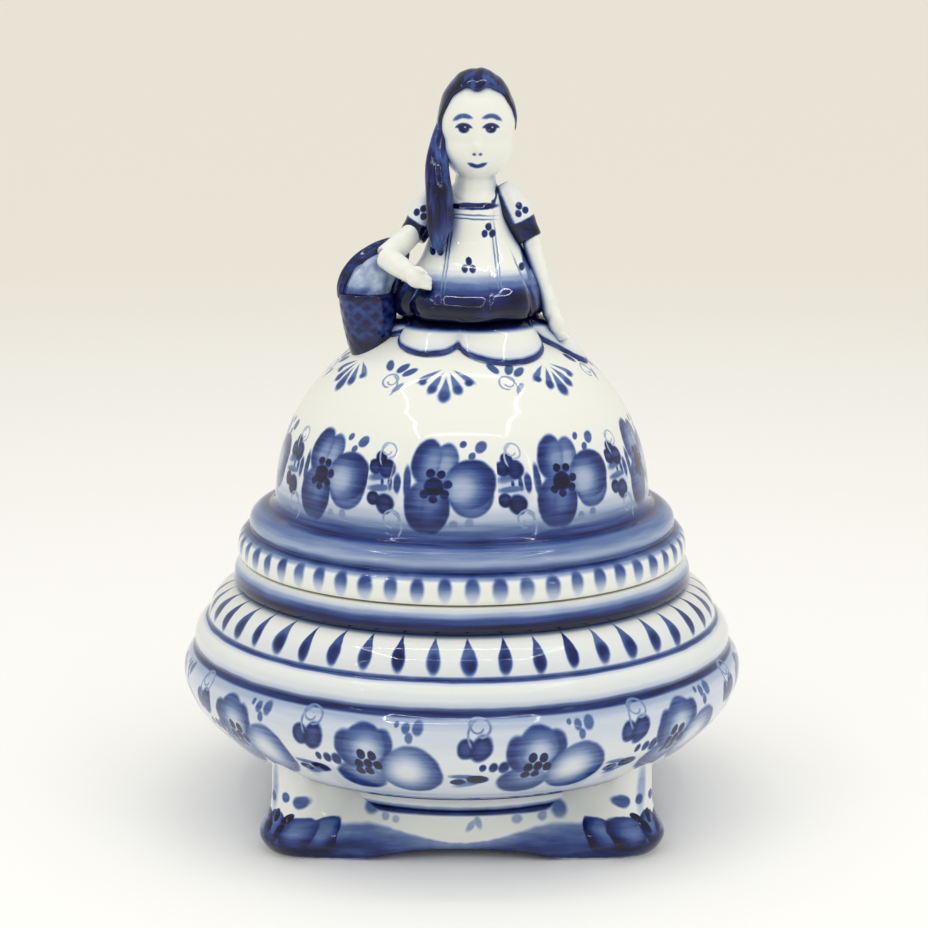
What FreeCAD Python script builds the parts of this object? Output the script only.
import FreeCAD, Part
import math
import os
from FreeCAD import Vector

os.makedirs("parts", exist_ok=True)

# Covered bowl in hand-painted, glazed porcelain.
# A squat round bowl on a square foot carries a domed lid; a seated girl with a basket is the knob.
# Millimetres. +Z is up, the front is -Y, and the origin is on the table under the bowl's axis.

# Driving dimensions of the bowl.
OVERALL_HEIGHT = 170.0
BELLY_RADIUS = 64.5
BELLY_Z = 34.9
BOWL_WALL = 4.0
UNDERSIDE_Z = 9.5
FOOT_RING_RADIUS = 41.3
FOOT_RING_Z = 14.0
LOWER_BEAD_RADIUS = 61.6
LOWER_BEAD_Z = 39.4
UPPER_BEAD_RADIUS = 58.8
UPPER_BEAD_Z = 45.3
RIM_RADIUS = 52.7
RIM_GROOVE_Z = 53.2
RIM_TOP_Z = 59.1
MOUTH_RADIUS = 47.0

# Driving dimensions of the foot.
FOOT_HALF_WIDTH = 45.1
FOOT_CORNER_RADIUS = 13.0
FOOT_WAIST_LOW = 43.6
FOOT_WAIST_HIGH = 42.6
FOOT_WALL_Z = 1.2
FOOT_TOP_Z = 27.0
FOOT_HOLLOW_RADIUS = 37.5
FOOT_ARCH_HEIGHT = 2.6
FOOT_ARCH_HALF_SPAN = 25.0
TOE_OFFSET = 34.0
TOE_RADIUS = 11.6
TOE_Z = 5.2
TOE_HALF_HEIGHT = 6.2

# Driving dimensions of the lid.
SEAT_GAP = 0.3
LID_BOTTOM_Z = RIM_TOP_Z + SEAT_GAP
FLANGE_RADIUS = 51.6
LID_GROOVE_RADIUS = 48.6
LID_GROOVE_Z = 66.1
DOME_RADIUS = 43.0
DOME_CENTRE_Z = 72.0
LID_WALL = 3.6
LID_MOUTH_RADIUS = 42.6
RING_RADIUS = 45.9
RING_DEPTH = 5.0

# Driving dimensions of the figure on the lid.
FIGURE_X = 2.0
HEM_Z = 115.0
WAIST_Z = 126.5
SHOULDER_Z = 142.0
NECK_RADIUS = 4.2
HEAD_CENTRE = Vector(3.4, -1.4, 157.3)
HEAD_RADII = (8.0, 8.6, 12.0)
HAIR_RADII = (9.1, 9.6, OVERALL_HEIGHT - HEAD_CENTRE.z)
BASKET_X = -21.2
BASKET_Y = -6.5
BASKET_RIM_Z = 120.0
BASKET_RIM_RADIUS = 6.1
BASKET_BASE_RADIUS = 4.3


def point(radius, z):
    """A point of a turned outline, in the XZ plane."""
    return Vector(radius, 0, z)


def line(start, end):
    return Part.LineSegment(point(*start), point(*end)).toShape()


def arc(start, middle, end):
    return Part.Arc(point(*start), point(*middle), point(*end)).toShape()


def curve(*points):
    """One smooth curve through the given outline points."""
    spline = Part.BSplineCurve()
    spline.interpolate([point(*p) for p in points])
    return spline.toShape()


def turned(edges):
    """The solid that a closed half outline sweeps about the Z axis."""
    face = Part.Face(Part.Wire(edges))
    return face.revolve(Vector(0, 0, 0), Vector(0, 0, 1), 360)


def ellipsoid(centre, radii):
    matrix = FreeCAD.Matrix()
    matrix.scale(*radii)
    shape = Part.makeSphere(1.0).transformGeometry(matrix)
    shape.translate(centre)
    return shape


def ellipse_wire(centre, radius_x, radius_y):
    """A level ellipse, round the Z axis of its centre."""
    flat = Part.Circle(centre, Vector(0, 0, 1), 1.0).toShape()
    matrix = FreeCAD.Matrix()
    matrix.move(-centre)
    matrix.scale(radius_x, radius_y, 1.0)
    matrix.move(centre)
    return Part.Wire(flat.transformGeometry(matrix))


def level_outline(points, z):
    """A closed smooth outline at one height."""
    spline = Part.BSplineCurve()
    spline.interpolate([Vector(x, y, z) for x, y in points], PeriodicFlag=True)
    return Part.Wire(spline.toShape())


def limb(points, radii):
    """A round limb through the given centres, one radius at each."""
    wires = []
    for index, centre in enumerate(points):
        before = points[max(index - 1, 0)]
        after = points[min(index + 1, len(points) - 1)]
        wires.append(Part.Wire(Part.Circle(centre, after - before, radii[index]).toShape()))
    return Part.makeLoft(wires, True)


def without(shape, *others):
    """The shape with its neighbours cut away, so that they meet face to face."""
    for other in others:
        shape = shape.cut(other)
    solids = sorted(shape.Solids, key=lambda solid: solid.Volume)
    return solids[-1]


# Bowl

BELLY_CURVE = [
    (FOOT_RING_RADIUS, FOOT_RING_Z),
    (50.0, 16.0),
    (59.0, 23.0),
    (63.4, 29.0),
    (BELLY_RADIUS, BELLY_Z),
    (LOWER_BEAD_RADIUS, LOWER_BEAD_Z),
]
SHOULDER_CURVE = [
    (UPPER_BEAD_RADIUS, UPPER_BEAD_Z),
    (57.6, 48.9),
    (54.6, 51.7),
    (50.7, RIM_GROOVE_Z),
]
RIM_CURVE = [
    (50.7, RIM_GROOVE_Z),
    (RIM_RADIUS, 54.6),
    (52.4, 57.4),
    (50.6, RIM_TOP_Z),
]


def bowl_outside():
    """Outline of the outside, from the middle of the underside to the top of the rim."""
    ring_foot = (40.2, UNDERSIDE_Z)
    return [
        line((0, UNDERSIDE_Z), ring_foot),
        arc(ring_foot, (42.5, 11.6), BELLY_CURVE[0]),
        curve(*BELLY_CURVE),
        arc(BELLY_CURVE[-1], (61.4, 42.9), SHOULDER_CURVE[0]),
        curve(*SHOULDER_CURVE),
        curve(*RIM_CURVE),
    ]


def filled_bowl():
    """The bowl with no hollow, which its foot is cut to."""
    lid_seat = line(RIM_CURVE[-1], (0, RIM_TOP_Z))
    middle = line((0, RIM_TOP_Z), (0, UNDERSIDE_Z))
    return turned(bowl_outside() + [lid_seat, middle])


def bowl_body():
    floor_z = UNDERSIDE_Z + BOWL_WALL
    inside_belly = BELLY_RADIUS - BOWL_WALL
    throat_z = 51.5
    lip_edge = (MOUTH_RADIUS + 0.8, RIM_TOP_Z)
    lip_inside = (MOUTH_RADIUS, RIM_TOP_Z - 1.0)
    belly = [(53.0, 47.0), (inside_belly, 36.0), (54.0, 23.5), (38.0, 15.6)]
    inside = [
        line(RIM_CURVE[-1], lip_edge),
        arc(lip_edge, (MOUTH_RADIUS + 0.2, RIM_TOP_Z - 0.3), lip_inside),
        line(lip_inside, (MOUTH_RADIUS, throat_z)),
        curve((MOUTH_RADIUS, throat_z), *belly, (24.0, floor_z)),
        line((24.0, floor_z), (0, floor_z)),
        line((0, floor_z), (0, UNDERSIDE_Z)),
    ]
    return turned(bowl_outside() + inside)


# Foot

def foot_plan(half_width, waist, z):
    """A square plan with round corners, whose four sides are drawn in to the waist."""
    straight = half_width - FOOT_CORNER_RADIUS
    diagonal = straight + FOOT_CORNER_RADIUS * math.sqrt(0.5)
    edges = []
    for turn in range(4):
        side = Part.Arc(
            Vector(-straight, -half_width, z), Vector(0, -waist, z), Vector(straight, -half_width, z)
        )
        corner = Part.Arc(
            Vector(straight, -half_width, z), Vector(diagonal, -diagonal, z), Vector(half_width, -straight, z)
        )
        for piece in (side.toShape(), corner.toShape()):
            piece.rotate(Vector(0, 0, 0), Vector(0, 0, 1), 90 * turn)
            edges.append(piece)
    return Part.Wire(edges)


def foot_arch():
    """The shallow arch under each side, as a bar that is cut from the foot."""
    span = FOOT_ARCH_HALF_SPAN
    below = -5.0
    edges = [
        line((-span, below), (-span, 0)),
        arc((-span, 0), (0, FOOT_ARCH_HEIGHT), (span, 0)),
        line((span, 0), (span, below)),
        line((span, below), (-span, below)),
    ]
    bar = Part.Face(Part.Wire(edges)).extrude(Vector(0, 4 * FOOT_HALF_WIDTH, 0))
    bar.translate(Vector(0, -2 * FOOT_HALF_WIDTH, 0))
    return bar


def foot_plinth(bowl):
    plans = [
        foot_plan(FOOT_HALF_WIDTH, FOOT_WAIST_LOW, FOOT_WALL_Z),
        foot_plan(FOOT_HALF_WIDTH, FOOT_WAIST_HIGH, UNDERSIDE_Z + 1),
        foot_plan(FOOT_HALF_WIDTH, FOOT_WAIST_HIGH, FOOT_TOP_Z),
    ]
    foot = Part.makeLoft(plans, True, True)
    arch = foot_arch()
    foot = foot.cut(arch)
    arch.rotate(Vector(0, 0, 0), Vector(0, 0, 1), 90)
    foot = foot.cut(arch)
    for x in (-TOE_OFFSET, TOE_OFFSET):
        for y in (-TOE_OFFSET, TOE_OFFSET):
            foot = foot.fuse(ellipsoid(Vector(x, y, TOE_Z), (TOE_RADIUS, TOE_RADIUS, TOE_HALF_HEIGHT)))
    table = Part.makeBox(200, 200, 20, Vector(-100, -100, -20))
    hollow = Part.makeCylinder(FOOT_HOLLOW_RADIUS, UNDERSIDE_Z + 1, Vector(0, 0, -1))
    return without(foot, table, hollow, bowl)


# Lid

def lid_outside():
    """Outline of the lid's outside, from the flange's lower edge to the top of the dome."""
    groove = (LID_GROOVE_RADIUS, LID_GROOVE_Z)
    dome_foot = (DOME_RADIUS, DOME_CENTRE_Z)
    slope = math.sqrt(0.5)
    return [
        curve((50.6, LID_BOTTOM_Z), (FLANGE_RADIUS - 0.1, 60.6), (FLANGE_RADIUS, 62.6), (50.9, 64.8), groove),
        arc(groove, (47.9, 69.4), (44.2, 71.2)),
        line((44.2, 71.2), dome_foot),
        arc(
            dome_foot,
            (DOME_RADIUS * slope, DOME_CENTRE_Z + DOME_RADIUS * slope),
            (0, DOME_CENTRE_Z + DOME_RADIUS),
        ),
    ]


def filled_lid():
    """The lid with no hollow, which the figure is cut to."""
    return turned(
        lid_outside()
        + [
            line((0, DOME_CENTRE_Z + DOME_RADIUS), (0, LID_BOTTOM_Z)),
            line((0, LID_BOTTOM_Z), (50.6, LID_BOTTOM_Z)),
        ]
    )


def lid_dome():
    inner = DOME_RADIUS - LID_WALL
    slope = math.sqrt(0.5)
    half_way = (inner * slope, DOME_CENTRE_Z + inner * slope)
    inside = [
        line((0, DOME_CENTRE_Z + DOME_RADIUS), (0, DOME_CENTRE_Z + inner)),
        arc((0, DOME_CENTRE_Z + inner), half_way, (inner, DOME_CENTRE_Z)),
        curve((inner, DOME_CENTRE_Z), (41.0, 67.0), (LID_MOUTH_RADIUS, 62.0)),
        line((LID_MOUTH_RADIUS, 62.0), (LID_MOUTH_RADIUS, LID_BOTTOM_Z)),
        line((LID_MOUTH_RADIUS, LID_BOTTOM_Z), (50.6, LID_BOTTOM_Z)),
    ]
    return turned(lid_outside() + inside)


def lid_locating_ring():
    """The lip under the lid that drops into the bowl's mouth and keeps the lid centred."""
    low = LID_BOTTOM_Z - RING_DEPTH
    nose = 0.8
    return turned(
        [
            line((LID_MOUTH_RADIUS, LID_BOTTOM_Z), (RING_RADIUS, LID_BOTTOM_Z)),
            line((RING_RADIUS, LID_BOTTOM_Z), (RING_RADIUS - 0.2, low + nose)),
            line((RING_RADIUS - 0.2, low + nose), (RING_RADIUS - nose, low)),
            line((RING_RADIUS - nose, low), (LID_MOUTH_RADIUS, low)),
            line((LID_MOUTH_RADIUS, low), (LID_MOUTH_RADIUS, LID_BOTTOM_Z)),
        ]
    )


# Figure

def petticoat(lid):
    """The underskirt spread on the dome, with its pointed corner at the girl's left."""
    spread = [
        (2, -24.5), (-10, -23.5), (-17.5, -16), (-18.5, -3), (-13, 10), (2, 15.5),
        (15, 12), (23, 5), (29.2, -1), (23.5, -10), (14, -21),
    ]
    gathered = [
        (2, -20), (-9, -19), (-14, -13), (-15, -3), (-10.5, 8), (2, 12),
        (12, 9), (17, 3), (19.5, -2), (17.5, -9), (12, -17),
    ]
    low = level_outline(spread, DOME_CENTRE_Z + 29.0)
    high = level_outline(gathered, HEM_Z)
    return without(Part.makeLoft([low, high], True), lid)


def dress(lid):
    """Skirt over the lap and close bodice, as one gown."""
    wires = [
        ellipse_wire(Vector(FIGURE_X - 0.3, -4.5, HEM_Z), 16.8, 17.0),
        ellipse_wire(Vector(FIGURE_X - 0.2, -4.2, HEM_Z + 4.5), 15.6, 16.4),
        ellipse_wire(Vector(FIGURE_X + 0.2, -2.2, WAIST_Z - 1.0), 12.6, 12.6),
        ellipse_wire(Vector(FIGURE_X + 0.5, 0, WAIST_Z + 6.0), 10.2, 8.4),
        ellipse_wire(Vector(FIGURE_X + 0.8, 0.3, SHOULDER_Z - 3.5), 9.0, 6.8),
        ellipse_wire(Vector(FIGURE_X + 1.2, 0.3, SHOULDER_Z), 5.6, 4.8),
    ]
    return without(Part.makeLoft(wires, True), lid)


def head(gown):
    """Head and neck."""
    neck_base = Vector(FIGURE_X + 1.2, -0.2, SHOULDER_Z - 2)
    neck = Part.makeCylinder(NECK_RADIUS, 9, neck_base)
    return without(ellipsoid(HEAD_CENTRE, HEAD_RADII).fuse(neck), gown)


def hair(face):
    """A close cap of hair, open over the face."""
    cap = ellipsoid(HEAD_CENTRE, HAIR_RADII)
    window = ellipsoid(HEAD_CENTRE + Vector(0.6, -9.0, -5.0), (8.4, 8.0, 12.5))
    below = Part.makeBox(40, 40, 20, HEAD_CENTRE + Vector(-20, -20, -29))
    return without(cap, window, below, face)


def ponytail(*neighbours):
    """The long gathered hair that falls in front of the girl's right shoulder."""
    centres = [
        Vector(-4.6, -3.0, 157.0),
        Vector(-4.9, -5.5, 148.5),
        Vector(-3.6, -8.6, 140.0),
        Vector(-3.0, -9.6, 133.0),
        Vector(-3.6, -9.6, 129.5),
    ]
    return without(limb(centres, [1.6, 2.6, 3.0, 2.6, 1.2]), *neighbours)


def sleeve(side, *neighbours):
    """A short puffed sleeve; side is -1 at the girl's right and 1 at her left."""
    lean = 9.6 if side < 0 else 10.8
    centres = [
        Vector(FIGURE_X + 1.0 + side * 5.5, -0.5, 141.6),
        Vector(FIGURE_X + 1.0 + side * 8.4, -1.2, 139.4),
        Vector(FIGURE_X + 1.0 + side * lean, -2.4, 135.8),
        Vector(FIGURE_X + 1.0 + side * (lean + 1.6), -3.4, 132.0),
    ]
    return without(limb(centres, [2.2, 3.8, 4.0, 3.1]), *neighbours)


def right_arm(*neighbours):
    """The arm that bends over the basket's handle and rests its hand in the lap."""
    upper = [Vector(-10.2, -3.6, 133.0), Vector(-13.6, -5.8, 130.8), Vector(-16.4, -8.4, 129.2)]
    fore = [Vector(-17.0, -8.2, 129.3), Vector(-12.6, -14.0, 127.3), Vector(-8.6, -18.0, 125.3)]
    arm = limb(upper, [2.5, 2.5, 2.3]).fuse(limb(fore, [2.4, 2.1, 1.8]))
    return without(arm, *neighbours)


def left_arm(*neighbours):
    """The straight arm whose hand rests on the petticoat."""
    centres = [
        Vector(15.4, -4.0, 132.4),
        Vector(17.6, -6.2, 124.6),
        Vector(20.0, -8.2, 116.6),
        Vector(21.8, -9.6, 110.6),
    ]
    return without(limb(centres, [2.5, 2.2, 2.1, 1.8]), *neighbours)


def basket_body(*neighbours):
    wires = []
    for rise, radius in ((-16.0, 3.9), (-8.0, 5.3), (0.0, BASKET_RIM_RADIUS)):
        centre = Vector(BASKET_X - 0.06 * rise, BASKET_Y, BASKET_RIM_Z + rise)
        wires.append(ellipse_wire(centre, radius, radius))
    return without(Part.makeLoft(wires, True), *neighbours)


def basket_cloth(*neighbours):
    """The cloth that covers what the basket holds."""
    mound = ellipsoid(Vector(BASKET_X, BASKET_Y, BASKET_RIM_Z), (5.5, 5.5, 6.6))
    below = Part.makeBox(40, 40, 20, Vector(BASKET_X - 20, BASKET_Y - 20, BASKET_RIM_Z - 20))
    return without(mound, below, *neighbours)


def basket_handle(*neighbours):
    centres = []
    radii = []
    for step in range(9):
        turn = math.pi * step / 8
        x = BASKET_X - 5.2 * math.cos(turn)
        centres.append(Vector(x, BASKET_Y + 0.4, BASKET_RIM_Z - 0.6 + 10.2 * math.sin(turn)))
        radii.append(1.5)
    return without(limb(centres, radii), *neighbours)


def build():
    bowl = filled_bowl()
    lid = filled_lid()
    pieces = {
        "bowl_body": bowl_body(),
        "foot_plinth": foot_plinth(bowl),
        "lid_dome": lid_dome(),
        "lid_locating_ring": lid_locating_ring(),
    }
    pieces["petticoat"] = petticoat(lid)
    pieces["dress"] = gown = without(dress(lid), pieces["petticoat"])
    pieces["head"] = face = head(gown)
    pieces["hair"] = cap = without(hair(face), gown)
    pieces["right_sleeve"] = right_sleeve = sleeve(-1, gown, face, cap)
    pieces["left_sleeve"] = left_sleeve = sleeve(1, gown, face, cap)
    pieces["ponytail"] = tail = ponytail(gown, face, cap, right_sleeve)
    pieces["right_arm"] = bent_arm = right_arm(gown, right_sleeve, tail)
    pieces["left_arm"] = left_arm(lid, pieces["petticoat"], gown, left_sleeve)
    pieces["basket_body"] = basket = basket_body(lid, pieces["petticoat"], gown)
    pieces["basket_cloth"] = cloth = basket_cloth(basket, gown, bent_arm)
    pieces["basket_handle"] = basket_handle(basket, cloth, gown, bent_arm)
    return pieces


for name, shape in build().items():
    shape.exportStep("parts/" + name + ".step")
